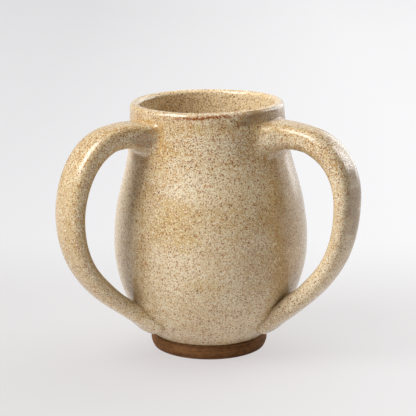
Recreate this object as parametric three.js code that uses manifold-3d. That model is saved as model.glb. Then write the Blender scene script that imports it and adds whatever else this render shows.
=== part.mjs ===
// A two-handled hand-washing cup in speckled stoneware: a thrown vessel on a turned foot ring, with two
// pulled strap handles luted to its wall. Millimetres, +Z up. The cup stands on z = 0, its front faces -Y,
// and both handles lean towards the front, so that the cup passes easily from one hand to the other.
import * as THREE from "three";
import { mergeVertices } from "three/addons/utils/BufferGeometryUtils.js";
import Module from "manifold-3d";

const wasm = await Module();
wasm.setup();

// Vessel: outside sizes, walls and the shares that place the pull points of its curves
const vesselHeight = 135;
const neckBelowRim = 15;
const neckHeight = vesselHeight - neckBelowRim;
const bellyRadius = 52.2;
const neckNarrowing = 10.4;
const neckRadius = bellyRadius - neckNarrowing;
const rimInset = 0.8;
const rimRadius = neckRadius - rimInset;
const bellyHeight = 58;
const seatRadius = 31.2;
const wallThickness = 5;
const lipThickness = 4.6;
const floorThickness = 7;
const floorCrown = 1.2;
const flatFloorShare = 0.3;
const hipPullShares = { out: 0.68, up: 0.24, belly: 0.34 };
const shoulderPullShares = { belly: 0.47, out: 0.24, neck: 0.41 };
const basinPullShares = { floor: 0.62, belly: 0.45 };

// Foot ring, turned from the same clay and left bare
const footHeight = 8.6;
const footStandingRadius = 30.8;
const footBulge = 2.1;
const footRingWidth = 6.8;
const footRecessTaper = 1;
const footEdgeChamfer = 0.8;

// Handles: straps pulled by hand to an oval section, so the two differ a little in their arch
const handleLeanDegrees = 32;
const handleWidth = 19;
const handleDepth = 12.6;
const tailHeight = 13;
const strapRoundnessShare = 0.83;
const fingerGap = 26.1;
const fingerGapShares = { left: 1, right: 0.962 };
const jointBelowRim = 15.3;
const jointBelowRimShares = { left: 1, right: 0.876 };
const crestBelowRim = 53.1;
const crestBelowRimShares = { left: 1, right: 0.8456 };
const archShares = {
  left: { root: 0.874, rise: 0.34, crown: 0.3, fall: 0.54, tail: 0.62 },
  right: { root: 0.902, rise: 0.21, crown: 0.295, fall: 0.515, tail: 0.79 },
};
const strapPlaceShares = [0, 0.12, 0.22, 0.45, 0.62, 0.75, 0.87, 0.93, 0.97, 1];
const strapWidthShares = [1.05, 1.05, 1.05, 0.99, 0.93, 0.86, 0.82, 0.92, 0.9, 0.5];
const strapDepthShares = [0.91, 0.98, 1.035, 0.955, 0.895, 0.85, 0.66, 0.6, 0.67, 0.35];

// Luting clay: a coil worked into a cove round each upper joint, and a pad pressed round each lower end
const jointGap = 0.3;
const lutingEdge = 0.4;
const coilReach = 6;
const coilSpread = 6;
const coilAbove = 2.5;
const coilBelow = 8;
const padTopHeight = 35;
const padFootHeight = 11;
const padSpread = 4;
const padHeight = 3.4;
const padRoundnessShare = 0.9;

// How finely the round forms are cut
const turnSteps = 64;
const curveSteps = 9;
const lipSteps = 6;
const footSteps = 4;
const sectionSteps = 22;
const strapSteps = 36;
const coilSteps = 6;
const padSteps = 12;
const wallSamples = 200;

const clay = new THREE.MeshStandardMaterial({ color: 0x6b4a30, roughness: 0.85, metalness: 0 });
const glaze = new THREE.MeshStandardMaterial({ color: 0xcdb98f, roughness: 0.28, metalness: 0 });

// Solids

function solidFrom(geometry) {
  const bare = new THREE.BufferGeometry();
  bare.setAttribute("position", geometry.getAttribute("position"));
  bare.setIndex(geometry.getIndex());
  const merged = mergeVertices(bare);
  return new wasm.Manifold(
    new wasm.Mesh({
      numProp: 3,
      vertProperties: merged.attributes.position.array,
      triVerts: new Uint32Array(merged.index.array),
    }),
  );
}

function geometryFrom(solid) {
  const mesh = solid.getMesh();
  const geometry = new THREE.BufferGeometry();
  geometry.setAttribute("position", new THREE.BufferAttribute(mesh.vertProperties, mesh.numProp));
  geometry.setIndex(new THREE.BufferAttribute(mesh.triVerts, 1));
  const faceted = geometry.toNonIndexed();
  faceted.computeVertexNormals();
  return faceted;
}

// A profile of (radius, height) points, turned about the Z axis. It runs up the outside and down the inside.
function turned(profile) {
  return new THREE.LatheGeometry(profile, turnSteps).rotateX(Math.PI / 2);
}

// A closed skin through rings of equally many points, with a fan over each end.
function lofted(rings) {
  const positions = [];
  const faces = [];
  const count = rings[0].length;
  rings.flat().forEach((point) => positions.push(point.x, point.y, point.z));
  for (let ring = 0; ring + 1 < rings.length; ring += 1) {
    for (let i = 0; i < count; i += 1) {
      const a = ring * count + i;
      const b = ring * count + ((i + 1) % count);
      faces.push(a, b, a + count, b, b + count, a + count);
    }
  }
  const last = (rings.length - 1) * count;
  for (let i = 1; i + 1 < count; i += 1) {
    faces.push(0, i + 1, i);
    faces.push(last, last + i, last + i + 1);
  }
  const geometry = new THREE.BufferGeometry();
  geometry.setAttribute("position", new THREE.Float32BufferAttribute(positions, 3));
  geometry.setIndex(faces);
  return geometry;
}

// Profiles of the vessel

function curve(points, steps = curveSteps) {
  return new THREE.CubicBezierCurve(...points).getPoints(steps);
}

function lerp(from, to, share) {
  return from + (to - from) * share;
}

function outsideProfile(steps = curveSteps) {
  const seat = new THREE.Vector2(seatRadius, footHeight);
  const belly = new THREE.Vector2(bellyRadius, bellyHeight);
  const neck = new THREE.Vector2(neckRadius, neckHeight);
  const hip = curve([
    seat,
    new THREE.Vector2(
      lerp(seat.x, belly.x, hipPullShares.out),
      lerp(seat.y, belly.y, hipPullShares.up),
    ),
    new THREE.Vector2(belly.x, lerp(belly.y, seat.y, hipPullShares.belly)),
    belly,
  ], steps);
  const shoulder = curve([
    belly,
    new THREE.Vector2(belly.x, lerp(belly.y, neck.y, shoulderPullShares.belly)),
    new THREE.Vector2(
      lerp(neck.x, belly.x, shoulderPullShares.out),
      lerp(neck.y, belly.y, shoulderPullShares.neck),
    ),
    neck,
  ], steps);
  return [...hip, ...shoulder.slice(1)];
}

function insideProfile() {
  const top = new THREE.Vector2(neckRadius - wallThickness, neckHeight);
  const belly = new THREE.Vector2(bellyRadius - wallThickness, bellyHeight);
  const floor = new THREE.Vector2(belly.x * flatFloorShare, footHeight + floorThickness);
  const shoulder = curve([
    top,
    new THREE.Vector2(
      lerp(top.x, belly.x, shoulderPullShares.out),
      lerp(top.y, belly.y, shoulderPullShares.neck),
    ),
    new THREE.Vector2(belly.x, lerp(belly.y, top.y, shoulderPullShares.belly)),
    belly,
  ]);
  const basin = curve([
    belly,
    new THREE.Vector2(belly.x, lerp(belly.y, floor.y, basinPullShares.belly)),
    new THREE.Vector2(lerp(floor.x, belly.x, basinPullShares.floor), floor.y),
    floor,
  ]);
  return [...shoulder, ...basin.slice(1)];
}

function lipProfile() {
  const half = lipThickness / 2;
  const points = [];
  for (let i = 0; i <= lipSteps; i += 1) {
    const turn = (Math.PI * i) / lipSteps;
    points.push(
      new THREE.Vector2(
        rimRadius - half + half * Math.cos(turn),
        vesselHeight - half + half * Math.sin(turn),
      ),
    );
  }
  return points;
}

const wallSample = outsideProfile(wallSamples);

// The outside of the wall at a height, and the wall's own direction there, from the foot up.
function wallAt(height) {
  const above = wallSample.findIndex((point) => point.y >= height);
  if (above < 1) {
    const neck = wallSample[wallSample.length - 1];
    return { radius: neck.x, direction: new THREE.Vector2(0, 1) };
  }
  const low = wallSample[above - 1];
  const high = wallSample[above];
  const share = (height - low.y) / (high.y - low.y);
  return {
    radius: lerp(low.x, high.x, share),
    direction: high.clone().sub(low).normalize(),
  };
}

function vesselGeometry() {
  const bottom = new THREE.Vector2(0, footHeight + floorCrown);
  const recess = new THREE.Vector2(footStandingRadius - footRingWidth, footHeight);
  const floorCentre = new THREE.Vector2(0, footHeight + floorThickness);
  return turned([
    bottom,
    recess,
    ...outsideProfile(),
    ...lipProfile(),
    ...insideProfile(),
    floorCentre,
  ]);
}

// The space that the vessel fills, a little enlarged, for cutting what is luted onto it.
function vesselEnvelope() {
  const wall = outsideProfile();
  const grown = wall.map((point, i) => {
    const along = wall[Math.min(i + 1, wall.length - 1)].clone().sub(wall[Math.max(i - 1, 0)]);
    const outward = new THREE.Vector2(along.y, -along.x).normalize();
    return point.clone().addScaledVector(outward, jointGap);
  });
  return turned([
    new THREE.Vector2(0, grown[0].y),
    ...grown,
    new THREE.Vector2(neckRadius + jointGap, vesselHeight + jointGap),
    new THREE.Vector2(0, vesselHeight + jointGap),
  ]);
}

function footRingGeometry() {
  const inside = footStandingRadius - footRingWidth;
  const outer = new THREE.QuadraticBezierCurve(
    new THREE.Vector2(footStandingRadius, footEdgeChamfer),
    new THREE.Vector2(footStandingRadius + footBulge, footHeight / 2),
    new THREE.Vector2(seatRadius, footHeight),
  ).getPoints(footSteps);
  const profile = [
    new THREE.Vector2(inside + footRecessTaper + footEdgeChamfer, 0),
    new THREE.Vector2(footStandingRadius - footEdgeChamfer, 0),
    ...outer,
    new THREE.Vector2(inside, footHeight),
    new THREE.Vector2(inside + footRecessTaper, footEdgeChamfer),
  ];
  return turned([...profile, profile[0]]);
}

// Handles, each drawn in its own plane: X is the reach from the cup's axis, Y runs across, Z is up

const acrossStrap = new THREE.Vector3(0, 1, 0);

// The strap starts this deep inside the neck, so that the round wall cuts its whole width and its coil's.
function rootDepth() {
  const halfJoint = handleWidth / 2 + coilSpread;
  return neckRadius - Math.sqrt(neckRadius ** 2 - halfJoint ** 2) + wallThickness / 2;
}

// The middle line of a strap: up and over from the neck to the crest, then down to lie along the wall.
function handlePath(side) {
  const shares = archShares[side];
  const top = vesselHeight - jointBelowRim * jointBelowRimShares[side];
  const crest = vesselHeight - crestBelowRim * crestBelowRimShares[side];
  const root = neckRadius - rootDepth();
  const reach = bellyRadius + fingerGap * fingerGapShares[side] + handleDepth / 2;
  const wall = wallAt(tailHeight);
  const tailPull = (reach - wall.radius) * shares.tail;
  const middle = new THREE.Vector3(reach, 0, crest);
  const end = new THREE.Vector3(wall.radius, 0, tailHeight);
  const path = new THREE.CurvePath();
  path.add(
    new THREE.CubicBezierCurve3(
      new THREE.Vector3(root, 0, top),
      new THREE.Vector3(lerp(root, reach, shares.root), 0, lerp(top, crest, -shares.rise)),
      new THREE.Vector3(reach, 0, lerp(crest, top, shares.crown)),
      middle,
    ),
  );
  path.add(
    new THREE.CubicBezierCurve3(
      middle,
      new THREE.Vector3(reach, 0, lerp(crest, tailHeight, shares.fall)),
      new THREE.Vector3(wall.direction.x, 0, wall.direction.y).multiplyScalar(tailPull).add(end),
      end,
    ),
  );
  return path;
}

// One value from a list of shares, read smoothly at a place along the strap.
function shareAt(shares, place) {
  return new THREE.CubicInterpolant(strapPlaceShares, shares, 1).evaluate(place)[0];
}

// An oval about a centre, spanned by two directions: an ellipse at a roundness of one, boxier below it.
function ovalRing(centre, outward, halfAcross, halfOut, roundness) {
  const ring = [];
  for (let i = 0; i < sectionSteps; i += 1) {
    const turn = (2 * Math.PI * i) / sectionSteps;
    const across = Math.sign(Math.cos(turn)) * Math.abs(Math.cos(turn)) ** roundness;
    const out = Math.sign(Math.sin(turn)) * Math.abs(Math.sin(turn)) ** roundness;
    ring.push(
      centre
        .clone()
        .addScaledVector(acrossStrap, halfAcross * across)
        .addScaledVector(outward, halfOut * out),
    );
  }
  return ring;
}

// The strap's size and direction at a place along its path.
function strapAt(path, place) {
  return {
    centre: path.getPoint(place),
    outward: new THREE.Vector3().crossVectors(path.getTangent(place), acrossStrap).normalize(),
    halfWidth: (handleWidth / 2) * shareAt(strapWidthShares, place),
    halfDepth: (handleDepth / 2) * shareAt(strapDepthShares, place),
  };
}

// The strap's own outline at a place along it, grown all round by a margin.
function strapRing(path, place, margin) {
  const { centre, outward, halfWidth, halfDepth } = strapAt(path, place);
  return ovalRing(centre, outward, halfWidth + margin, halfDepth + margin, strapRoundnessShare);
}

function strapGeometry(path, margin) {
  const rings = [];
  for (let i = 0; i <= strapSteps; i += 1) {
    rings.push(strapRing(path, i / strapSteps, margin));
  }
  return lofted(rings);
}

// An outline laid on the round wall, or a little off it.
function laidOnWall(ring, offset) {
  return ring.map((point) => {
    const radius = wallAt(point.z).radius + offset;
    return new THREE.Vector3(Math.sqrt(radius ** 2 - point.y ** 2), point.y, point.z);
  });
}

// The clay coil round the upper joint: a cove that leaves the wall at one outline and meets the strap at
// another, with its corner where the strap itself would enter the wall.
function coilGeometry(path) {
  const edge = jointGap + lutingEdge;
  const wallPlace = rootDepth() / path.getLength();
  const strapPlace = wallPlace + coilReach / path.getLength();
  const { centre, outward, halfWidth, halfDepth } = strapAt(path, wallPlace);
  const spread = ovalRing(
    centre.addScaledVector(outward, (coilAbove - coilBelow) / 2),
    outward,
    halfWidth + coilSpread,
    halfDepth + (coilAbove + coilBelow) / 2,
    1,
  );
  const onWall = laidOnWall(spread, edge);
  const corner = laidOnWall(strapRing(path, wallPlace, edge), edge);
  const onStrap = strapRing(path, strapPlace, edge);
  const rings = [laidOnWall(spread, -jointGap)];
  for (let i = 0; i <= coilSteps; i += 1) {
    const rise = i / coilSteps;
    const swell = 1 - Math.sqrt(1 - (1 - rise) ** 2);
    rings.push(
      corner.map((point, n) =>
        point.clone().lerp(onWall[n], swell).addScaledVector(onStrap[n].clone().sub(point), rise),
      ),
    );
  }
  return lofted(rings);
}

// A point bent round the wall: what it had across becomes an arc of the same length.
function wrapped(point, radius) {
  const turn = point.y / radius;
  return new THREE.Vector3(point.x * Math.cos(turn), point.x * Math.sin(turn), point.z);
}

// The clay pad round the lower end: a low mound that follows the wall.
function padGeometry() {
  const rings = [];
  for (let i = 0; i <= padSteps; i += 1) {
    const share = i / padSteps;
    const height = lerp(padTopHeight, padFootHeight, share);
    const wall = wallAt(height);
    const mound = 1 - Math.abs(2 * share - 1) ** (2 / padRoundnessShare);
    const swell = Math.max(mound ** (padRoundnessShare / 2), (jointGap + lutingEdge) / padHeight);
    const ring = ovalRing(
      new THREE.Vector3(wall.radius, 0, height),
      new THREE.Vector3(wall.direction.y, 0, -wall.direction.x),
      (handleWidth / 2 + padSpread) * swell,
      padHeight * swell,
      padRoundnessShare,
    );
    rings.push(ring.map((point) => wrapped(point, wall.radius)));
  }
  return lofted(rings);
}

// The cup

function piece(name, geometry, material) {
  const mesh = new THREE.Mesh(geometry, material);
  mesh.name = name;
  return mesh;
}

const cup = new THREE.Group();
cup.add(piece("vessel", vesselGeometry(), glaze));
cup.add(piece("foot_ring", footRingGeometry(), clay));

const envelope = solidFrom(vesselEnvelope());

function handleWithLuting(side) {
  const path = handlePath(side);
  const strap = solidFrom(strapGeometry(path, 0));
  const grownStrap = solidFrom(strapGeometry(path, jointGap));
  const coil = solidFrom(coilGeometry(path));
  const pad = solidFrom(padGeometry());
  const joined = new THREE.Group();
  joined.add(
    piece(side + "_handle", geometryFrom(strap.subtract(envelope)), glaze),
    piece(
      side + "_upper_luting_coil",
      geometryFrom(coil.subtract(grownStrap).subtract(envelope)),
      glaze,
    ),
    piece(
      side + "_lower_luting_pad",
      geometryFrom(pad.subtract(grownStrap).subtract(envelope)),
      glaze,
    ),
  );
  return joined;
}

const lean = THREE.MathUtils.degToRad(handleLeanDegrees);
const left = handleWithLuting("left");
left.rotation.z = Math.PI + lean;
const right = handleWithLuting("right");
right.rotation.z = -lean;
cup.add(left, right);

// The origin is the middle of the cup's footprint on the table, handles included.
const footprint = new THREE.Box3().setFromObject(cup, true);
cup.position.x = -(footprint.min.x + footprint.max.x) / 2;
cup.position.y = -(footprint.min.y + footprint.max.y) / 2;

export default cup;
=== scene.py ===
# A two-handled stoneware washing cup, glazed over a bare turned foot.
# Lengths are in metres. The cup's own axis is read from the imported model.
import math
import bpy
import bmesh
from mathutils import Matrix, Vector
from mathutils.bvhtree import BVHTree


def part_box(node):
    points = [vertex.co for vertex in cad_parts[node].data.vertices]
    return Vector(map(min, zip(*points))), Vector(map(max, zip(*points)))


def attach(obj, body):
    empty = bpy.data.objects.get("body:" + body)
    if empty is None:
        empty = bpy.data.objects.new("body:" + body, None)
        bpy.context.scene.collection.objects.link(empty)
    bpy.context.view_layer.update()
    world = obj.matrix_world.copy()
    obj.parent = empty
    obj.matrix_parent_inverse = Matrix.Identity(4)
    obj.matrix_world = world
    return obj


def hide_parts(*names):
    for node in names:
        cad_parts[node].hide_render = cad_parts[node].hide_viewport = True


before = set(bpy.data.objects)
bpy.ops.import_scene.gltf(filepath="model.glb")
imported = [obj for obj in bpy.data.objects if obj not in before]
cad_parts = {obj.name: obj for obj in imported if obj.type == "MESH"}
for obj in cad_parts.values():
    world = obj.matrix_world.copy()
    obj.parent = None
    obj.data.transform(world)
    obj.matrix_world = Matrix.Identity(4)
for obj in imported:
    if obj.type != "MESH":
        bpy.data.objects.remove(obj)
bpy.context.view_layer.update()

vesselLow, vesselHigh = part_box("vessel")
axisX = (vesselLow.x + vesselHigh.x) / 2
axisY = (vesselLow.y + vesselHigh.y) / 2
axisPoint = Vector((axisX, axisY, 0))
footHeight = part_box("foot_ring")[1].z
bellyRadius = (vesselHigh.x - vesselLow.x) / 2
rimHeight = vesselHigh.z


# Small helpers for working by hand in edit mode

handwork = {
    # A profile starts as a plane of this size, and spots nearer than the other become one
    "startSize": 0.001,
    "sameSpot": 0.00002,
}


def deselectAll():
    if bpy.context.object and bpy.context.object.mode != "OBJECT":
        bpy.ops.object.mode_set(mode="OBJECT")
    bpy.ops.object.select_all(action="DESELECT")


def pickUp(piece):
    deselectAll()
    piece.select_set(True)
    bpy.context.view_layer.objects.active = piece


def startEditing(piece, selection="DESELECT"):
    pickUp(piece)
    bpy.ops.object.mode_set(mode="EDIT")
    bpy.ops.mesh.select_mode(type="VERT")
    bpy.ops.mesh.select_all(action=selection)


def stopEditing():
    bpy.ops.object.mode_set(mode="OBJECT")


def selectWhere(piece, test):
    bpy.ops.mesh.select_all(action="DESELECT")
    work = bmesh.from_edit_mesh(piece.data)
    for vertex in work.verts:
        vertex.select = bool(test(vertex.co))
    work.select_flush(True)
    bmesh.update_edit_mesh(piece.data)


def reshape(piece, move):
    # Each vertex goes where the move puts it
    startEditing(piece)
    work = bmesh.from_edit_mesh(piece.data)
    for vertex in work.verts:
        move(vertex.co)
    bmesh.update_edit_mesh(piece.data)
    stopEditing()


def applyModifier(piece, kind, **settings):
    pickUp(piece)
    modifier = piece.modifiers.new(kind.title(), kind)
    for name, value in settings.items():
        setattr(modifier, name, value)
    bpy.ops.object.modifier_apply(modifier=modifier.name)


def placeInMesh(piece):
    pickUp(piece)
    bpy.ops.object.transform_apply(location=True, rotation=True, scale=True)


def mix(a, b, share):
    return a + (b - a) * share


def between(a, b, across, up):
    # The point that lies these shares of the way from one to the other
    return Vector((mix(a.x, b.x, across), mix(a.y, b.y, up)))


def bezier(points, steps):
    path = []
    for i in range(steps + 1):
        t = i / steps
        s = 1 - t
        path.append(
            points[0] * s ** 3 + points[1] * 3 * s * s * t + points[2] * 3 * s * t * t + points[3] * t ** 3
        )
    return path


def drawProfile(name, profile):
    # One vertex, pulled along the profile of (radius, height) points in the plane of the axis
    deselectAll()
    first = profile[0]
    bpy.ops.mesh.primitive_plane_add(
        size=handwork["startSize"], location=(axisX + first.x, axisY, first.y),
    )
    piece = bpy.context.object
    piece.name = name
    placeInMesh(piece)
    startEditing(piece, "SELECT")
    bpy.ops.mesh.merge(type="CENTER")
    for before, after in zip(profile, profile[1:]):
        step = after - before
        bpy.ops.mesh.extrude_vertices_move(TRANSFORM_OT_translate={"value": (step.x, 0, step.y)})
    stopEditing()
    return piece


def throwOnWheel(piece, turns):
    # Spin the profile about the cup's axis, then close the seam and the poles
    startEditing(piece, "SELECT")
    bpy.ops.mesh.spin(steps=turns, angle=math.tau, center=(axisX, axisY, 0), axis=(0, 0, 1))
    bpy.ops.mesh.select_all(action="SELECT")
    bpy.ops.mesh.remove_doubles(threshold=handwork["sameSpot"])
    bpy.ops.mesh.normals_make_consistent(inside=False)
    stopEditing()


def finishSurface(piece, levels):
    applyModifier(piece, "SUBSURF", levels=levels, render_levels=levels)
    pickUp(piece)
    bpy.ops.object.shade_smooth()


# Camera, at the photograph's place

cameraSettings = {
    "place": (-0.0006, -0.8598, 0.2887),
    "pitchDegrees": 13.88,
    "lens": 141.3,
    "sensor": 36,
    "sees": 20,
}

cameraData = bpy.data.cameras.new("camera")
cameraData.lens = cameraSettings["lens"]
cameraData.sensor_width = cameraSettings["sensor"]
cameraData.clip_end = cameraSettings["sees"]
camera = bpy.data.objects.new("camera", cameraData)
camera.location = axisPoint + Vector(cameraSettings["place"])
camera.rotation_euler = (math.radians(90 - cameraSettings["pitchDegrees"]), 0, 0)
bpy.context.collection.objects.link(camera)
bpy.context.scene.camera = camera
print("camera set")


# The thrown vessel

thrownVessel = {
    "neckRadius": 0.0418,
    "neckHeight": 0.120,
    "bellyHeight": 0.058,
    "seatRadius": 0.0312,
    "wall": 0.005,
    "lipThickness": 0.0052,
    "rimRadius": 0.041,
    "floorHeight": 0.0156,
    "floorCrown": 0.0012,
    "recessRadius": 0.024,
    "glazeRoll": 0.00035,
    # The same roll where the glaze ends at the foot, in shares: off the seat's radius, off its height
    "rollShape": [(-1, -0.4), (1, -0.6), (2.2, 0.6)],
    "innerRecess": {"radius": 0.55, "crown": 0.7},
    # Shares of the way along each curve that its two ends pull
    "hip": {"seatOut": 0.68, "seatUp": 0.24, "bellyDown": 0.34},
    "shoulder": {"bellyUp": 0.47, "neckOut": 0.24, "neckDown": 0.41},
    "basin": {"bellyDown": 0.45, "floorOut": 0.62, "flat": 0.3, "middle": 0.5},
    "turns": 72,
    "curveSteps": 15,
    "lipSteps": 8,
    "smoothing": 2,
    "unevenness": 0.0007,
    "unevennessSize": 0.045,
    "rimShift": -0.0012,
    "rimSpread": 1.006,
    "rimLift": 0.0004,
    "rimTiltDegrees": {"X": 0.5, "Y": 0.8},
    "rimReach": 0.045,
    "rimBand": 0.004,
    "bellyBand": (0.055, 0.088),
    "bellyMiddle": 0.07,
    "bellyShift": 0.0009,
    "bellySpread": 1.0065,
    "bellyReach": 0.05,
}


def vesselCurves():
    v = thrownVessel
    seat = Vector((v["seatRadius"], footHeight))
    belly = Vector((bellyRadius, v["bellyHeight"]))
    neck = Vector((v["neckRadius"], v["neckHeight"]))
    hipPull = v["hip"]
    hip = bezier([
        seat,
        between(seat, belly, hipPull["seatOut"], hipPull["seatUp"]),
        between(belly, seat, 0, hipPull["bellyDown"]),
        belly,
    ], v["curveSteps"])
    pull = v["shoulder"]
    shoulder = bezier([
        belly,
        between(belly, neck, 0, pull["bellyUp"]),
        between(neck, belly, pull["neckOut"], pull["neckDown"]),
        neck,
    ], v["curveSteps"])
    # The inside follows a wall's thickness behind
    basinPull = v["basin"]
    inNeck = Vector((v["neckRadius"] - v["wall"], v["neckHeight"]))
    inBelly = Vector((bellyRadius - v["wall"], v["bellyHeight"]))
    inFloor = Vector((inBelly.x * basinPull["flat"], v["floorHeight"]))
    inShoulder = bezier([
        inNeck,
        between(inNeck, inBelly, pull["neckOut"], pull["neckDown"]),
        between(inBelly, inNeck, 0, pull["bellyUp"]),
        inBelly,
    ], v["curveSteps"])
    basin = bezier([
        inBelly,
        between(inBelly, inFloor, 0, basinPull["bellyDown"]),
        between(inFloor, inBelly, basinPull["floorOut"], 0),
        inFloor,
    ], v["curveSteps"])
    return hip + shoulder[1:], inShoulder + basin[1:]


def vesselProfile():
    v = thrownVessel
    outside, inside = vesselCurves()
    roll = v["glazeRoll"]
    inner = v["innerRecess"]
    under = [
        Vector((0, footHeight + v["floorCrown"])),
        Vector((v["recessRadius"] * inner["radius"], footHeight + v["floorCrown"] * inner["crown"])),
        Vector((v["recessRadius"], footHeight)),
    ]
    for out, up in v["rollShape"]:
        under.append(Vector((v["seatRadius"] + out * roll, footHeight + up * roll)))
    half = v["lipThickness"] / 2
    lip = []
    for i in range(v["lipSteps"] + 1):
        turn = math.pi * i / v["lipSteps"]
        lip.append(Vector((
            v["rimRadius"] - half + half * math.cos(turn),
            rimHeight - half + half * math.sin(turn),
        )))
    middle = Vector((inside[-1].x * v["basin"]["middle"], v["floorHeight"]))
    return under + outside[1:] + lip + inside + [middle, Vector((0, v["floorHeight"]))]


def throwVessel():
    v = thrownVessel
    piece = drawProfile("thrown_vessel", vesselProfile())
    throwOnWheel(piece, v["turns"])
    soft = {"use_proportional_edit": True, "proportional_edit_falloff": "SMOOTH"}
    # The belly stands a hair to the right of the foot
    startEditing(piece)
    low, high = v["bellyBand"]
    selectWhere(piece, lambda co: low < co.z < high)
    soft["proportional_size"] = v["bellyReach"]
    middle = (axisX, axisY, v["bellyMiddle"])
    bpy.ops.transform.translate(value=(v["bellyShift"], 0, 0), **soft)
    spread = v["bellySpread"]
    bpy.ops.transform.resize(value=(spread, spread, 1), center_override=middle, **soft)
    # The mouth leans a hair to the left and dips there, as a cup cut off the wheel does
    selectWhere(piece, lambda co: co.z > v["neckHeight"] + v["rimBand"])
    soft["proportional_size"] = v["rimReach"]
    rimMiddle = (axisX, axisY, rimHeight)
    bpy.ops.transform.translate(value=(v["rimShift"], 0, v["rimLift"]), **soft)
    spread = v["rimSpread"]
    bpy.ops.transform.resize(value=(spread, spread, 1), center_override=rimMiddle, **soft)
    for axis, degrees in v["rimTiltDegrees"].items():
        bpy.ops.transform.rotate(
            value=math.radians(degrees), orient_axis=axis, center_override=rimMiddle, **soft,
        )
    stopEditing()
    finishSurface(piece, v["smoothing"])
    clouds = bpy.data.textures.new("hand_unevenness", "CLOUDS")
    clouds.noise_scale = v["unevennessSize"]
    applyModifier(
        piece, "DISPLACE", texture=clouds, texture_coords="LOCAL", strength=v["unevenness"], mid_level=0.5,
    )
    return piece


vessel = throwVessel()
print("vessel thrown")


# The bare foot ring

footRing = {
    "standingRadius": 0.0308,
    "bulge": 0.0021,
    "width": 0.0068,
    "recessTaper": 0.001,
    "edge": 0.0008,
    "edgeBreak": {"back": 0.25, "up": 0.3},
    "tuck": 0.0003,
    "underGlaze": 0.0001,
    "turns": 72,
    "steps": 8,
    "turningRidge": 0.00006,
    "smoothing": 1,
}


def footProfile():
    f = footRing
    inside = f["standingRadius"] - f["width"]
    top = footHeight - f["underGlaze"]
    seat = Vector((thrownVessel["seatRadius"] - f["tuck"], top))
    low = Vector((f["standingRadius"], f["edge"]))
    pull = Vector((f["standingRadius"] + f["bulge"], footHeight / 2))
    outer = []
    for i in range(f["steps"] + 1):
        t = i / f["steps"]
        point = low * (1 - t) ** 2 + pull * 2 * t * (1 - t) + seat * t * t
        point.x += f["turningRidge"] * (1 if i % 2 else -1)
        outer.append(point)
    return [
        Vector((inside + f["recessTaper"] + f["edge"], 0)),
        Vector((f["standingRadius"] - f["edge"], 0)),
        Vector((
            f["standingRadius"] - f["edge"] * f["edgeBreak"]["back"],
            f["edge"] * f["edgeBreak"]["up"],
        )),
        *outer,
        Vector((inside, top)),
        Vector((inside + f["recessTaper"], f["edge"])),
        Vector((inside + f["recessTaper"] + f["edge"], 0)),
    ]


def turnFoot():
    piece = drawProfile("turned_foot", footProfile())
    throwOnWheel(piece, footRing["turns"])
    finishSurface(piece, footRing["smoothing"])
    return piece


foot = turnFoot()
print("foot turned")


# The pulled handles

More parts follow.
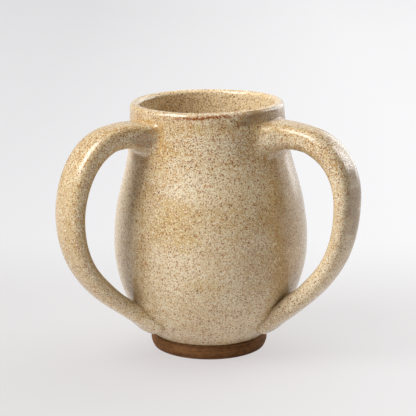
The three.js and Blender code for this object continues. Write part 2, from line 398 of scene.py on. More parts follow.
pulledHandles = {
    "leanDegrees": 32,
    "width": 0.0198,
    "depth": 0.0132,
    "tailHeight": 0.013,
    "fingerGap": {"left": 0.0256, "right": 0.0250},
    "joint": {"left": 0.1197, "right": 0.1216},
    "crest": {"left": 0.0819, "right": 0.0901},
    "arch": {
        "left": {"root": 0.870, "rise": 0.346, "crown": 0.29, "fall": 0.54, "tail": 0.62},
        "right": {"root": 0.908, "rise": 0.186, "crown": 0.318, "fall": 0.515, "tail": 0.79},
    },
    "places": [0, 0.12, 0.22, 0.45, 0.62, 0.75, 0.87, 0.93, 0.97, 1],
    "widths": {
        "left": [1.0, 1.04, 1.17, 1.22, 1.16, 1.04, 0.86, 0.88, 0.86, 0.48],
        "right": [1.0, 1.0, 1.08, 1.14, 1.08, 0.97, 0.86, 0.88, 0.86, 0.48],
    },
    "depths": {
        "left": [0.87, 1.0, 1.07, 0.91, 0.85, 0.82, 0.64, 0.58, 0.58, 0.34],
        "right": [0.87, 1.0, 1.07, 0.81, 0.79, 0.80, 0.70, 0.58, 0.54, 0.33],
    },
    # The tail is pressed out into a lug: what it adds to the front half of the width
    "lugPlaces": [0, 0.78, 0.82, 0.85, 0.89, 0.92, 0.945, 0.965, 0.98, 1],
    "lug": {
        "left": [0, 0, 0, 0.0007, 0.0036, 0.0060, 0.0072, 0.0062, 0.0040, 0.0010],
        "right": [0, 0, 0.0014, 0.0030, 0.0040, 0.0040, 0.0040, 0.0038, 0.0034, 0.0018],
    },
    # and what the clay in the fork adds on the side of the wall
    "fork": {
        "left": [0, 0, 0.0003, 0.0009, 0.0016, 0.0017, 0.0014, 0.0009, 0.0004, 0],
        "right": [0, 0.0002, 0.0010, 0.0020, 0.0028, 0.0026, 0.0018, 0.0009, 0.0004, 0],
    },
    # Clay this near to the wall is bent round it, and wholly so within the first share of that
    "pressedFrom": 0.016,
    "pressedWholly": 0.25,
    "jointSpare": 0.006,
    "tailEnd": {"length": 0.0006, "shrink": 0.6},
    "stations": 56,
    "around": 24,
    "guideSteps": 64,
    "measureSteps": 300,
    "roundness": 0.95,
    "corners": {
        "left": [0.36, 0.40, 0.54, 0.84, 0.93, 0.95, 0.95, 0.95, 0.95, 0.95],
        "right": [0.56, 0.57, 0.58, 0.62, 0.68, 0.76, 0.88, 0.95, 0.95, 0.95],
    },
    # Each row of a flare: distance off the neck, then what it adds at the front, back, top and underside
    "flare": {
        "left": [
            (-0.0005, 0.0072, 0.0060, 0.0024, 0.0062), (0.0001, 0.0060, 0.0050, 0.0018, 0.0052),
            (0.0006, 0.0047, 0.0038, 0.0013, 0.0041), (0.0016, 0.0033, 0.0027, 0.0009, 0.0030),
            (0.0034, 0.0020, 0.0016, 0.0006, 0.0019), (0.0070, 0.0010, 0.0008, 0.0003, 0.0010),
            (0.0125, 0.0003, 0.0002, 0.0001, 0.0003),
        ],
        "right": [
            (-0.0005, 0.0116, 0.0060, 0.0024, 0.0086), (0.0001, 0.0100, 0.0050, 0.0018, 0.0073),
            (0.0005, 0.0083, 0.0038, 0.0013, 0.0060), (0.0013, 0.0063, 0.0027, 0.0009, 0.0045),
            (0.0030, 0.0042, 0.0016, 0.0006, 0.0029), (0.0064, 0.0022, 0.0008, 0.0003, 0.0015),
            (0.0120, 0.0007, 0.0002, 0.0001, 0.0005),
        ],
    },
    "flareReach": 0.020,
    "flareRoundness": {"top": 0.78, "under": 0.6},
    "laidRings": 4,
    "smoothing": 2,
}


def wallAt(height):
    # Radius and direction of the vessel's outside at a height
    outside = vesselCurves()[0]
    for low, high in zip(outside, outside[1:]):
        if low.y <= height <= high.y:
            share = (height - low.y) / (high.y - low.y)
            return mix(low.x, high.x, share), (high - low).normalized()
    return thrownVessel["neckRadius"], Vector((0, 1))


def rootDepth():
    h = pulledHandles
    neck = thrownVessel["neckRadius"]
    halfJoint = h["width"] / 2 + h["jointSpare"]
    return neck - math.sqrt(neck ** 2 - halfJoint ** 2) + thrownVessel["wall"] / 2


def archPoints(side):
    h = pulledHandles
    shares = h["arch"][side]
    top = h["joint"][side]
    crest = h["crest"][side]
    root = thrownVessel["neckRadius"] - rootDepth()
    reach = bellyRadius + h["fingerGap"][side] + h["depth"] / 2
    radius, direction = wallAt(h["tailHeight"])
    end = Vector((radius, h["tailHeight"]))
    middle = Vector((reach, crest))
    upper = [
        Vector((root, top)),
        Vector((mix(root, reach, shares["root"]), mix(top, crest, -shares["rise"]))),
        Vector((reach, mix(crest, top, shares["crown"]))),
        middle,
    ]
    lower = [
        middle,
        Vector((reach, mix(crest, h["tailHeight"], shares["fall"]))),
        end + direction * (reach - radius) * shares["tail"],
        end,
    ]
    return upper, lower


def archLength(side):
    upper, lower = archPoints(side)
    steps = pulledHandles["measureSteps"]
    line = bezier(upper, steps) + bezier(lower, steps)[1:]
    return sum((b - a).length for a, b in zip(line, line[1:]))


def smoothShare(places, shares, place):
    # The table read with a smooth curve through its rows
    for i in range(len(places) - 1):
        if place <= places[i + 1]:
            break
    span = places[i + 1] - places[i]
    t = (place - places[i]) / span
    before = shares[i - 1] if i > 0 else 2 * shares[i] - shares[i + 1]
    after = shares[i + 2] if i + 2 < len(shares) else 2 * shares[i + 1] - shares[i]
    beforePlace = places[i - 1] if i > 0 else places[i] - span
    afterPlace = places[i + 2] if i + 2 < len(places) else places[i + 1] + span
    slopeStart = (shares[i + 1] - before) / (places[i + 1] - beforePlace) * span
    slopeEnd = (after - shares[i]) / (afterPlace - places[i]) * span
    return (
        (2 * t ** 3 - 3 * t ** 2 + 1) * shares[i] + (t ** 3 - 2 * t ** 2 + t) * slopeStart
        + (3 * t ** 2 - 2 * t ** 3) * shares[i + 1] + (t ** 3 - t ** 2) * slopeEnd
    )


def strapRows(side, length):
    # (place along the arch, front, back, above, below, roundness at the front edge, on top, underneath)
    h = pulledHandles
    wall = rootDepth()
    rows = []

    def strapAt(place):
        share = min(place / length, 1)
        return (
            h["width"] / 2 * smoothShare(h["places"], h["widths"][side], share),
            h["depth"] / 2 * smoothShare(h["places"], h["depths"][side], share),
            smoothShare(h["places"], h["corners"][side], share),
        )

    for off, front, back, above, below in h["flare"][side]:
        width, depth, corner = strapAt(wall + max(off, 0))
        share = 1 - max(off, 0) / h["flareReach"]
        top = mix(h["roundness"], h["flareRoundness"]["top"], share)
        under = mix(h["roundness"], h["flareRoundness"]["under"], share)
        rows.append(
            (wall + off, width + front, width + back, depth + above, depth + below, corner, top, under)
        )
    start = wall + h["flareReach"]
    for i in range(h["stations"] + 1):
        place = start + (length - start) * i / h["stations"]
        share = min(place / length, 1)
        width, depth, corner = strapAt(place)
        lug = smoothShare(h["lugPlaces"], h["lug"][side], share)
        fork = smoothShare(h["lugPlaces"], h["fork"][side], share)
        rows.append(
            (place, width + lug, width, depth, depth + fork, corner, h["roundness"], h["roundness"])
        )
    return rows


def pressRing(piece, row, frontSign):
    # The newest ring of the strap, pressed to its section: each quarter is an oval of its own
    place, front, back, above, below, corner, top, under = row
    around = pulledHandles["around"]
    work = bmesh.from_edit_mesh(piece.data)
    work.verts.ensure_lookup_table()
    for i, vertex in enumerate(work.verts[len(work.verts) - around:]):
        turn = math.tau * i / around
        out = math.cos(turn)
        across = math.sin(turn)
        atFront = across * frontSign > 0
        roundness = under if out <= 0 else corner if atFront else top
        reach = front if atFront else back
        depth = above if out > 0 else below
        vertex.co = (
            place,
            math.copysign(abs(out) ** roundness, out) * depth,
            math.copysign(abs(across) ** roundness, across) * reach,
        )
    bmesh.update_edit_mesh(piece.data)


def archCurve(side):
    deselectAll()
    bpy.ops.curve.primitive_bezier_curve_add(location=(0, 0, 0))
    guide = bpy.context.object
    guide.data.dimensions = "2D"
    guide.data.resolution_u = pulledHandles["guideSteps"]
    upper, lower = archPoints(side)
    spline = guide.data.splines[0]
    spline.bezier_points.add(1)
    for knot, point, before, after in (
        (spline.bezier_points[0], upper[0], upper[0] * 2 - upper[1], upper[1]),
        (spline.bezier_points[1], upper[3], upper[2], lower[1]),
        (spline.bezier_points[2], lower[3], lower[2], lower[3] * 2 - lower[2]),
    ):
        knot.handle_left_type = "FREE"
        knot.handle_right_type = "FREE"
        knot.co = (point.x, point.y, 0)
        knot.handle_left = (before.x, before.y, 0)
        knot.handle_right = (after.x, after.y, 0)
    return guide


def pressRound(piece, reach):
    # What lies nearer to the wall than the reach is bent round the cup, as a thumb presses it on
    wholly = pulledHandles["pressedWholly"]

    def bend(co):
        off = co.x - wallAt(co.z)[0]
        share = min(max(1 - (off - wholly * reach) / ((1 - wholly) * reach), 0), 1)
        if co.z > thrownVessel["bellyHeight"]:
            share = 0
        share = share * share * (3 - 2 * share)
        turn = co.y / co.x
        co.y = mix(co.y, co.x * math.sin(turn), share)
        co.x = mix(co.x, co.x * math.cos(turn), share)

    reshape(piece, bend)


def turnToSide(piece, side):
    # From the plane of the right side to its own place round the cup
    turn = -math.radians(pulledHandles["leanDegrees"])
    if side == "left":
        turn = math.pi - turn
    piece.rotation_euler = (0, 0, turn)
    piece.location = axisPoint
    placeInMesh(piece)


def pullStrap(side):
    h = pulledHandles
    frontSign = -1 if side == "left" else 1
    length = archLength(side)
    rows = strapRows(side, length)
    deselectAll()
    bpy.ops.mesh.primitive_circle_add(
        vertices=h["around"], radius=h["depth"] / 2, fill_type="NOTHING", location=(0, 0, 0),
        rotation=(0, math.pi / 2, 0),
    )
    piece = bpy.context.object
    piece.name = side + "_pulled_handle"
    placeInMesh(piece)
    startEditing(piece, "SELECT")
    pressRing(piece, rows[0], frontSign)
    for before, after in zip(rows, rows[1:]):
        bpy.ops.mesh.extrude_region_move(TRANSFORM_OT_translate={"value": (after[0] - before[0], 0, 0)})
        pressRing(piece, after, frontSign)
    # Round the end off and close it
    tip = rows[-1][0] + h["tailEnd"]["length"]
    shrink = h["tailEnd"]["shrink"]
    bpy.ops.mesh.extrude_region_move(TRANSFORM_OT_translate={"value": (h["tailEnd"]["length"], 0, 0)})
    bpy.ops.transform.resize(value=(1, shrink, shrink), center_override=(tip, 0, 0))
    bpy.ops.mesh.edge_face_add()
    bpy.ops.mesh.poke()
    stopEditing()
    guide = archCurve(side)
    applyModifier(piece, "CURVE", object=guide, deform_axis="POS_X")
    bpy.data.objects.remove(guide)
    # Stand it up from the flat, and turn it to its side of the cup
    piece.rotation_euler = (math.pi / 2, 0, 0)
    placeInMesh(piece)
    pressRound(piece, h["pressedFrom"])
    turnToSide(piece, side)
    return piece


def layFlareOnNeck(side, piece):
    # The widest ring lies just under the neck's glaze, the next ones follow the neck at their own heights
    h = pulledHandles
    around = h["around"]
    for ring in range(h["laidRings"]):
        group = piece.vertex_groups.new(name="ring")
        group.add(list(range(ring * around, (ring + 1) * around)), 1, "REPLACE")
        applyModifier(
            piece, "SHRINKWRAP", target=vessel, vertex_group="ring", wrap_method="NEAREST_SURFACEPOINT",
            wrap_mode="ABOVE_SURFACE", offset=h["flare"][side][ring][0],
        )
        piece.vertex_groups.remove(piece.vertex_groups["ring"])


def makeHandle(side):
    piece = pullStrap(side)
    layFlareOnNeck(side, piece)
    startEditing(piece, "SELECT")
    bpy.ops.mesh.normals_make_consistent(inside=False)
    stopEditing()
    finishSurface(piece, pulledHandles["smoothing"])
    return piece


leftHandle = makeHandle("left")
rightHandle = makeHandle("right")
print("handles pulled")


# Soft clay pressed round the handles' lower ends

pressedPads = {
    "height": 0.0246,
    "forward": {"left": 0.0060, "right": 0.0036},
    "halfWidth": {"left": 0.0160, "right": 0.0150},
    "halfHeight": 0.0122,
    "lift": 0.0024,
    # The higher this power, the sooner the mound runs out
    "runOut": 4,
    "edgeSunk": 0.0004,
    "buried": 0.0020,
    # More than the pad is thick, so all of it is bent round the wall
    "pressedFrom": 1,
    "around": 32,
    "rings": 18,
    "smoothing": 2,
}


def pressPad(side):
    p = pressedPads
    frontSign = 1 if side == "left" else -1
    deselectAll()
    bpy.ops.mesh.primitive_uv_sphere_add(
        segments=p["around"], ring_count=p["rings"], radius=1,
        location=(0, frontSign * p["forward"][side], p["height"]), rotation=(0, math.pi / 2, 0),
        scale=(p["halfHeight"], p["halfWidth"][side], p["buried"]),
    )
    piece = bpy.context.object
    piece.name = side + "_pressed_pad"
    placeInMesh(piece)

    def layOnWall(co):
        # A low mound outside that runs out to nothing, a flat back inside the wall
        share = co.x / p["buried"]
        off = p["lift"] * share ** p["runOut"] if share > 0 else co.x
        co.x = wallAt(co.z)[0] + off - p["edgeSunk"]

    reshape(piece, layOnWall)
    pressRound(piece, p["pressedFrom"])
    turnToSide(piece, side)
    finishSurface(piece, p["smoothing"])
    return piece


leftPad = pressPad("left")
rightPad = pressPad("right")
print("pads pressed")


# Where the glaze pools, and what lies inside: written on the meshes for the finish to read

glazeMarks = {
    "reach": 0.02,
    # Glaze pools less on the straps than on the wall beside them
    "strapStretch": 3,
    "insideDepth": 0.003,
    "floorSpare": 0.002,
}


def writeOnMesh(piece, name, values):
    layer = piece.data.attributes.new(name, "FLOAT", "POINT")
    layer.data.foreach_set("value", values)


def surfaceOf(pieces):
    points = []
    faces = []
    for piece in pieces:
        first = len(points)
        points.extend(vertex.co.copy() for vertex in piece.data.vertices)
        faces.extend([first + i for i in face.vertices] for face in piece.data.polygons)
    return BVHTree.FromPolygons(points, faces)


def markJoints(pieces, others, stretch=1):
    reach = glazeMarks["reach"]
    surface = surfaceOf(others)
    for piece in pieces:
        distances = []
        for vertex in piece.data.vertices:
            found = surface.find_nearest(vertex.co, reach)
            distances.append(reach if found[3] is None else found[3] * stretch)
        writeOnMesh(piece, "joint_distance", distances)


def markInside(piece):
    shares = []
    lowest = thrownVessel["floorHeight"] - glazeMarks["floorSpare"]
    for vertex in piece.data.vertices:
        radius = math.hypot(vertex.co.x - axisX, vertex.co.y - axisY)
        skin = wallAt(vertex.co.z)[0] - glazeMarks["insideDepth"]
        shares.append(1.0 if vertex.co.z > lowest and radius < skin else 0.0)
    writeOnMesh(piece, "inside", shares)


markJoints([vessel], [leftHandle, rightHandle])
markJoints([leftPad, rightPad], [leftHandle, rightHandle])
markJoints([leftHandle, rightHandle], [vessel, leftPad, rightPad], glazeMarks["strapStretch"])
markInside(vessel)
print("joints marked")


# Floor and backdrop

studio = {
    "floorColour": (0.78, 0.775, 0.77),
    "bounceColour": (0.755, 0.715, 0.675),
    # The paper's tone is painted with the room's fall of light: darker on the near floor than on the far
    # backdrop, and darker to the left than to the right
    "near": (0.680, 0.667, 0.669),
    "far": (0.756, 0.757, 0.770),
    "farFrom": (0.06, 0.24),
    "sideways": 0.40,
    "sideReach": 0.17,
    "shadowShare": 0.15,
    # Painted shadows on the paper, soft darker ovals round the foot: middle from the cup's axis, reach,
    # what is left of each colour
    "shadowOvals": [
        ((-0.020, -0.055), (0.12, 0.10), (0.91, 0.90, 0.90)),
        ((0.0, -0.025), (0.062, 0.048), (0.93, 0.90, 0.89)),
    ],
    "shadowOvalEdge": (1.3, 0.0),
    # What the gloss finds of the paper's tone far to the left and far to the right
    "glossLeft": 0.40,
    "glossRight": 1.25,
    "glossFrom": (0.15, 1.3),
    "width": 14,
    "length": 4,
    "middle": 0.4,
    "height": 2.2,
    "sweep": 0.9,
    "sweepSteps": 16,
}


def makeStudio():
    s = studio
    deselectAll()
    bpy.ops.mesh.primitive_plane_add(size=1, location=(0, s["middle"], 0))
    floor = bpy.context.object
    floor.name = "studio_floor"
    floor.scale = (s["width"], s["length"], 1)
    placeInMesh(floor)
    startEditing(floor)
    selectWhere(floor, lambda co: co.y > s["middle"])
    bpy.ops.mesh.select_mode(type="EDGE")
    bpy.ops.mesh.extrude_region_move(TRANSFORM_OT_translate={"value": (0, 0, s["height"])})
    bpy.ops.mesh.select_mode(type="VERT")
    selectWhere(floor, lambda co: co.y > s["middle"] and co.z < s["height"] / 2)
    bpy.ops.mesh.bevel(offset=s["sweep"], segments=s["sweepSteps"], affect="EDGES")
    stopEditing()
    pickUp(floor)
    bpy.ops.object.shade_smooth()
    return floor


floor = makeStudio()


# Finishes

class Nodes:
    # A short way to place and join shader nodes
    def __init__(self, name):
        self.material = bpy.data.materials.new(name)
        self.material.use_nodes = True
        self.tree = self.material.node_tree
        self.tree.nodes.clear()

    def add(self, kind, **settings):
        node = self.tree.nodes.new(kind)
        for name, value in settings.items():
            setattr(node, name, value)
        return node

    def link(self, output, socket):
        self.tree.links.new(output, socket)

    def put(self, value, socket):
        if isinstance(value, bpy.types.NodeSocket):
            self.link(value, socket)
        else:
            socket.default_value = value

    def places(self):
        # Where a point lies on its piece, whole and apart
        place = self.add("ShaderNodeTexCoord").outputs["Object"]
        apart = self.add("ShaderNodeSeparateXYZ")
        self.link(place, apart.inputs[0])
        return place, apart

    def math(self, operation, a, b=0.0):
        node = self.add("ShaderNodeMath", operation=operation)
        self.put(a, node.inputs[0])
        self.put(b, node.inputs[1])
        return node.outputs[0]

    def times(self, product, *factors):
        for factor in factors:
            product = self.math("MULTIPLY", product, factor)
        return product

    def vector(self, operation, a, b=(0, 0, 0)):
        node = self.add("ShaderNodeVectorMath", operation=operation)
        self.put(a, node.inputs[0])
        self.put(b, node.inputs[1])
        return node

    def range(self, value, low, high, to0=0.0, to1=1.0, smooth=True):
        node = self.add("ShaderNodeMapRange", interpolation_type="SMOOTHSTEP" if smooth else "LINEAR")
        self.put(value, node.inputs["Value"])
        self.put(low, node.inputs["From Min"])
        self.put(high, node.inputs["From Max"])
        self.put(to0, node.inputs["To Min"])
        self.put(to1, node.inputs["To Max"])
        return node.outputs["Result"]

    def noise(self, where, scale, detail, roughness, distortion=0.0, output="Fac"):
        node = self.add("ShaderNodeTexNoise")
        self.link(where, node.inputs["Vector"])
        node.inputs["Scale"].default_value = scale
        node.inputs["Detail"].default_value = detail
        node.inputs["Roughness"].default_value = roughness
        node.inputs["Distortion"].default_value = distortion
        return node.outputs[output]

    def drift(self, where, scale, detail, roughness, low, high, least=0.0, distortion=0.0):
        # A noise that starts at the low value and is full at the high one
        return self.range(self.noise(where, scale, detail, roughness, distortion), low, high, least)

    def waver(self, where, scale, detail, roughness, amount):
        # A noise that goes as far below nought as above it
        centred = self.math("SUBTRACT", self.noise(where, scale, detail, roughness), 0.5)
        return self.times(centred, amount)

    def drawOut(self, where, scale):
        node = self.add("ShaderNodeMapping")
        node.inputs["Scale"].default_value = scale
        self.link(where, node.inputs["Vector"])
        return node.outputs[0]

    def blend(self, share, a, b, mode="MIX"):
        node = self.add("ShaderNodeMix", data_type="RGBA", blend_type=mode)
        self.put(share, node.inputs[0])
        self.put(a, node.inputs[6])
        self.put(b, node.inputs[7])
        return node.outputs[2]

    def finish(self, shader):
        output = self.add("ShaderNodeOutputMaterial")
        self.link(shader.outputs[0], output.inputs[0])
        return self.material


def toLinear(red, green, blue):
    # A colour read off in screen values, as the shader wants it
    shares = [value / 255 for value in (red, green, blue)]
    return (*[s / 12.92 if s <= 0.04045 else ((s + 0.055) / 1.055) ** 2.4 for s in shares], 1)


glazeLook = {
    "cream": (214, 198, 164),
    "oatmeal": (200, 181, 144),
    "chalk": (224, 214, 189),
    "gold": (190, 161, 98),
    "honey": (192, 158, 92),
    # Golden glaze inside the mouth, made lighter as painted light falling in
    "insideGoldAndLight": (250, 228, 184),
    # The greyed brown of painted shade, also laid as a darker tone on the left handle
    "shadeAndToneBrown": (121, 101, 68),
    "ochreGrain": (174, 122, 54),
    "rustGrain": (136, 80, 34),
    "paleSpot": (236, 227, 203),
    "rustSpeck": (126, 70, 28),
    "brownSpeck": (82, 52, 28),
    "rimBrown": (134, 68, 22),
    "darkReflection": (66, 42, 18),
    # How much of a colour shows where there is most of it
    "shares": {
        "chalk": 0.75, "chalkClouds": 0.3, "gold": 0.8, "goldStreaks": 0.4, "goldNeck": 0.75,
        "leastGold": 0.55, "inside": 0.8, "shadeAndToneBrown": 0.8, "darkReflection": 0.85,
    },
    # Drifts: the noise's scale, detail and roughness, where a drift starts and where it is full
    "clouds": (34, 4, 0.6, 0.4, 0.62),
    "streaks": (34, 5, 0.62, 0.5, 0.68),
    "streakCurl": 0.3,
    "thinning": (170, 4, 0.62, 0.4, 0.62),
    "throwingLines": (1, 1, 2.6),
    # What pushes the glaze about: the noise, and how far it does along each axis
    "sway": ((55, 2, 0.5), (0.024, 0.024, 0.02)),
    "jitter": ((900, 2, 0.5), (0.0006, 0.0006, 0.0006)),
    # A band's height, half its width and how soft its edges are
    "neckBand": (0.1273, 0.0026, 0.0014),
    "neckWave": (60, 3, 0.55, 0.006),
    "pool": {
        "width": (0.0034, 0.0004), "waver": (260, 3, 0.55, 0.003),
        "across": (-0.01, 0.01), "rise": 0.014, "heights": (0.094, 0.108), "shares": (0.2, 0.5),
    },
    "grain": {
        "noise": (1250, 2, 0.6), "drift": (330, 3, 0.6, 0.3), "cover": (0.49, 0.6),
        "heights": (0.096, 0.116), "shares": (0.58, 0.82), "insideShare": 0.72,
        "kind": (460, 2, 0.55, 0.44, 0.58),
    },
    "paleSpots": (1437.5, 2, 0.5, 0.53, 0.64),
    "paleShares": (0.75, 0.25),
    # Round specks: size of their cells, how many cells hold one, smallest and largest, strength
    "specks": {
        "powder": (0.0008, 0.6, 0.24, 0.44, 0.62),
        "dust": (0.0011, 0.7, 0.2, 0.42, 0.85),
        "fine": (0.0015, 0.48, 0.16, 0.34, 0.85),
        "coarse": (0.0029, 0.26, 0.1, 0.22, 0.8),
    },
    "speckEdge": (-0.04, 0.1),
    "rimLine": {
        "band": (0.1337, 0.0008, 0.0006), "rise": 0.06, "mostRise": 0.0004,
        "wander": (380, 3, 0.6, 0.0022), "left": (-0.021, -0.012), "right": (0.013, 0.008),
        "front": (-0.025, -0.03), "elsewhere": 0.16, "broken": (900, 2, 0.6, 0.4, 0.56, 0.15),
    },
    # A noise makes the gloss uneven: its low and its high value, and the roughness at each
    "gloss": (120, 3, 0.55),
    "roughness": (0.3, 0.7, 0.17, 0.26),
    "ior": 1.6,
    "dimples": {"noise": (520, 2, 0.5), "strength": 0.18, "depth": 0.0003},
    # A patch starts this many reaches off its middle, and is full this near to it
    "patchEdge": (1.35, 0.35),
    # Patches: middle from the cup's axis, reach each way, strength
    # Golden glaze in patches; the two on the belly's flanks beside the handles also darken them there as
    # painted shade
    "goldAndShadePatches": [
        ((-0.0165, -0.046, 0.0765), (0.017, 0.022, 0.013), 0.75),
        ((0.002, -0.051, 0.0463), (0.015, 0.022, 0.006), 0.7),
        ((0.034, -0.036, 0.075), (0.009, 0.016, 0.044), 0.9),
        ((-0.037, -0.034, 0.088), (0.007, 0.014, 0.03), 0.6),
        ((-0.0235, -0.034, 0.1165), (0.005, 0.01, 0.012), 1.0),
        ((-0.031, -0.03, 0.029), (0.007, 0.012, 0.006), 0.8),
        ((0.023, -0.034, 0.1275), (0.005, 0.01, 0.006), 1.0),
        ((-0.064, -0.04, 0.082), (0.022, 0.022, 0.055), 0.75),
    ],
    "chalkPatches": [
        ((-0.012, -0.043, 0.1015), (0.018, 0.022, 0.013), 0.9),
        ((-0.015, -0.048, 0.059), (0.014, 0.022, 0.011), 0.6),
        ((0, -0.049, 0.073), (0.01, 0.022, 0.008), 0.5),
        ((0, -0.036, 0.02), (0.036, 0.022, 0.012), 0.5),
        ((0.002, -0.042, 0.1165), (0.018, 0.022, 0.009), 0.7),
    ],
    # Painted shade in a greyed brown: under the lip, on and beside the upper joints' front faces and under
    # the left joint, on the right handle's outer side and on the belly's right flank; one patch is only a
    # darker tone over the left handle
    "shadeAndTonePatches": [
        ((0.0185, -0.035, 0.132), (0.0095, 0.012, 0.0034), 0.9),
        ((0.004, -0.04, 0.129), (0.012, 0.012, 0.0022), 0.35),
        ((-0.066, -0.04, 0.08), (0.02, 0.022, 0.052), 0.2),
        ((0.0775, -0.048, 0.086), (0.008, 0.014, 0.036), 0.85),
        ((0.0165, -0.037, 0.119), (0.006, 0.012, 0.011), 0.3),
        ((-0.0315, -0.036, 0.1225), (0.008, 0.014, 0.0046), 0.85),
        ((0.037, -0.034, 0.068), (0.009, 0.016, 0.042), 0.4),
        ((0.028, -0.038, 0.08), (0.012, 0.018, 0.04), 0.2),
        ((-0.0365, -0.025, 0.106), (0.006, 0.012, 0.0035), 0.5),
    ],
    # Painted shade with crisper edges: the left joint's front face and under the lip at the right
    "sharpShadePatches": [
        ((-0.0285, -0.036, 0.1245), (0.0052, 0.012, 0.0026), 0.9),
        ((-0.0345, -0.036, 0.1222), (0.005, 0.012, 0.0016), 0.6),
        ((0.0225, -0.033, 0.1322), (0.0085, 0.012, 0.0022), 0.9),
    ],
    # A small dark spot on the lip: a painted dark reflection of a window frame's edge
    "darkReflectionSpots": [
        ((0.034, -0.0222, 0.135), (0.0015, 0.003, 0.0009), 1.0),
    ],
}


def speckLayer(n, where, size, present, smallest, largest, strength):
    # One speck at most in each cell, some cells empty
    cells = n.add("ShaderNodeTexVoronoi")
    n.link(where, cells.inputs["Vector"])
    cells.inputs["Scale"].default_value = 1 / size
    spread = n.add("ShaderNodeSeparateColor")
    n.link(cells.outputs["Color"], spread.inputs[0])
    chance = n.math("LESS_THAN", spread.outputs[0], present)
    radius = n.range(spread.outputs[1], 0.0, 1.0, smallest, largest, smooth=False)
    edge = n.math("SUBTRACT", radius, cells.outputs["Distance"])
    disc = n.range(edge, *glazeLook["speckEdge"])
    return n.times(disc, chance, strength)


def band(n, value, middle, half, soft):
    # One in the middle of a band, nought outside it
    off = n.math("ABSOLUTE", n.math("SUBTRACT", value, middle))
    return n.range(off, half + soft, half - soft)


def awayFrom(n, where, middle, reach):
    # Distance from a middle, counted in reaches
    shift = n.vector("SUBTRACT", where, middle)
    share = n.vector("DIVIDE", shift.outputs[0], reach)
    return n.vector("LENGTH", share.outputs[0]).outputs["Value"]


def patches(n, where, places):
    # Soft ovals laid over each other, one where any of them is full
    total = 0.0
    for middle, reach, strength in places:
        away = awayFrom(n, where, axisPoint + Vector(middle), reach)
        oval = n.times(n.range(away, *glazeLook["patchEdge"]), strength)
        total = n.math("MAXIMUM", total, oval)
    return total


def swayed(n, where, place, noise, amount):
    # The place, pushed about by a noise as wet glaze runs
    pushed = n.vector("MULTIPLY_ADD", n.noise(where, *noise, output="Color"), amount)
    n.link(place, pushed.inputs[2])
    return pushed.outputs[0]


def glazeDrifts(n, place, apart, inside):
    # Clouds of thin and thick glaze, drawn out along the throwing lines
    g = glazeLook
    shares = g["shares"]
    cloud = n.drift(place, *g["clouds"])
    drawn = n.drawOut(place, g["throwingLines"])
    streaks = n.drift(drawn, *g["streaks"], distortion=g["streakCurl"])
    ran = swayed(n, drawn, place, *g["sway"])
    bent = n.vector("SUBTRACT", ran, [amount / 2 for amount in g["sway"][1]]).outputs[0]

    colour = n.blend(cloud, toLinear(*g["oatmeal"]), toLinear(*g["cream"]))
    chalk = n.math("MAXIMUM", patches(n, bent, g["chalkPatches"]), n.times(cloud, shares["chalkClouds"]))
    colour = n.blend(n.times(chalk, shares["chalk"]), colour, toLinear(*g["chalk"]))

    gold = n.math("MAXIMUM", n.times(streaks, shares["goldStreaks"]), patches(n, bent, g["goldAndShadePatches"]))
    height = n.math("ADD", apart.outputs["Z"], n.waver(place, *g["neckWave"]))
    neckGold = n.times(band(n, height, *g["neckBand"]), shares["goldNeck"])
    gold = n.math("MAXIMUM", gold, neckGold)
    thinning = n.drift(place, *g["thinning"])
    gold = n.times(gold, n.range(thinning, 0.0, 1.0, shares["leastGold"]))
    colour = n.blend(n.times(gold, shares["gold"]), colour, toLinear(*g["gold"]))
    # Inside, golden glaze lightened as painted light
    colour = n.blend(n.times(inside, shares["inside"]), colour, toLinear(*g["insideGoldAndLight"]))

    # Painted shade, and a darker tone on the left handle, laid over the glaze in a greyed brown
    sharp = patches(n, place, g["sharpShadePatches"])
    shadeAndTone = n.math("MAXIMUM", patches(n, bent, g["shadeAndTonePatches"]), sharp)
    shadeAndTone = n.times(shadeAndTone, n.range(inside, 1.0, 0.0))
    colour = n.blend(n.times(shadeAndTone, shares["shadeAndToneBrown"]), colour, toLinear(*g["shadeAndToneBrown"]))
    return colour, shadeAndTone


def honeyPool(n, place, apart):
    # Honey glaze gathered in the joints, more of it in the upper ones
    pool = glazeLook["pool"]
    joint = n.add("ShaderNodeAttribute", attribute_name="joint_distance").outputs["Fac"]
    ragged = n.math("ADD", joint, n.waver(place, *pool["waver"]))
    gathered = n.range(ragged, *pool["width"])
    along = n.math("SUBTRACT", apart.outputs["X"], axisX)
    rise = n.range(along, *pool["across"], 0.0, pool["rise"])
    level = n.math("SUBTRACT", apart.outputs["Z"], rise)
    return n.times(gathered, n.range(level, *pool["heights"], *pool["shares"]))


def addIron(n, place, apart, inside, shadeAndTone, colour):
    # Iron grain through the whole glaze, in denser and barer drifts, then round specks
    g = glazeLook
    grain = g["grain"]
    jittered = swayed(n, place, place, *g["jitter"])
    iron = n.math("ADD", n.noise(jittered, *grain["noise"]), n.waver(place, *grain["drift"]))
    kind = n.drift(place, *grain["kind"])
    grainColour = n.blend(kind, toLinear(*g["ochreGrain"]), toLinear(*g["rustGrain"]))
    dense = n.range(apart.outputs["Z"], *grain["heights"], *grain["shares"])
    dense = n.times(dense, n.range(inside, 0.0, 1.0, 1.0, grain["insideShare"]))
    colour = n.blend(n.times(n.range(iron, *grain["cover"]), dense), colour, grainColour)
    pale = n.drift(place, *g["paleSpots"])
    # Fewer pale spots where shade is painted
    pale = n.times(pale, n.range(shadeAndTone, 0.0, 1.0, *g["paleShares"]))
    colour = n.blend(pale, colour, toLinear(*g["paleSpot"]))
    for name, tint in (
        ("powder", toLinear(*g["ochreGrain"])),
        ("dust", grainColour),
        ("fine", toLinear(*g["rustSpeck"])),
        ("coarse", toLinear(*g["brownSpeck"])),
    ):
        colour = n.blend(speckLayer(n, jittered, *g["specks"][name]), colour, tint)
    return colour


